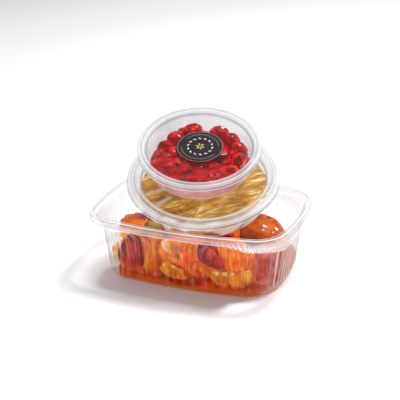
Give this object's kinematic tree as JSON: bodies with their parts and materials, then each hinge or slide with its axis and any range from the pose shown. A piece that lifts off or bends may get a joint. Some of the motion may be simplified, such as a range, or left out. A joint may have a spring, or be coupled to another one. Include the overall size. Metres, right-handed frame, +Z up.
{
  "type": "tray of candied fruit",
  "caption": "Mixed candied fruit heaped in syrup in an open clear ribbed tray, with a shut round tub of candied peel and a smaller shut tub of cherries stacked on it.",
  "frame": {"origin": "middle of the tray's footprint, on the surface that it stands on", "axes": "+X along the tray's long side, +Y towards its back, +Z up"},
  "size_m": [0.1622, 0.116, 0.1131],
  "materials": {
    "tray_plastic": "clear glossy thin vacuum-formed sheet",
    "tub_plastic": "clear glossy thin moulded wall",
    "syrup": "clear deep orange-red sugar syrup",
    "candied_peel": "glossy translucent golden peel",
    "candied_cherry": "glossy translucent deep red",
    "label_print": null,
    "mandarin_skin": "glossy sugar-glazed translucent orange-brown rind",
    "pumpkin_flesh": "glossy translucent orange flesh",
    "fig_skin": "glossy dark brown-purple skin",
    "green_fig_skin": "glossy olive-green skin",
    "apricot_flesh": "glossy translucent orange flesh",
    "plum_skin": "glossy red-purple skin",
    "peach_flesh": "glossy translucent salmon-orange flesh",
    "pear_flesh": "glossy translucent golden flesh",
    "citrus_flesh": "glossy translucent golden slice with a pale rind",
    "kumquat_skin": "glossy red-orange skin"
  },
  "bodies": {
    "root": {"tray": "tray_plastic", "syrup": "syrup", "peel_tub": "tub_plastic", "peel_lid": "tub_plastic", "peel_heap": "candied_peel", "cherry_tub": "tub_plastic", "cherry_lid": "tub_plastic", "cherry_heap": "candied_cherry", "label": "label_print", "mandarin_front": "mandarin_skin", "pumpkin_chunk": "pumpkin_flesh", "fig_front": "fig_skin", "apricot_corner": "apricot_flesh", "green_fig": "green_fig_skin", "prune_top": "plum_skin", "peach_half": "peach_flesh", "pear_slice": "pear_flesh", "citrus_slices": "citrus_flesh", "kumquat": "kumquat_skin", "plum_wedge": "plum_skin", "apricot_front": "apricot_flesh", "citrus_half_slice": "citrus_flesh", "mauve_plum": "plum_skin", "apricot_side": "apricot_flesh", "mandarin_left": "mandarin_skin", "mandarin_back": "mandarin_skin", "plum_back": "plum_skin", "pear_back": "pear_flesh", "apricot_back": "apricot_flesh", "peach_under": "peach_flesh", "plum_under": "plum_skin", "apricot_top_left": "apricot_flesh", "mandarin_top_back": "mandarin_skin", "fig_top_right": "fig_skin"}
  },
  "joints": []
}
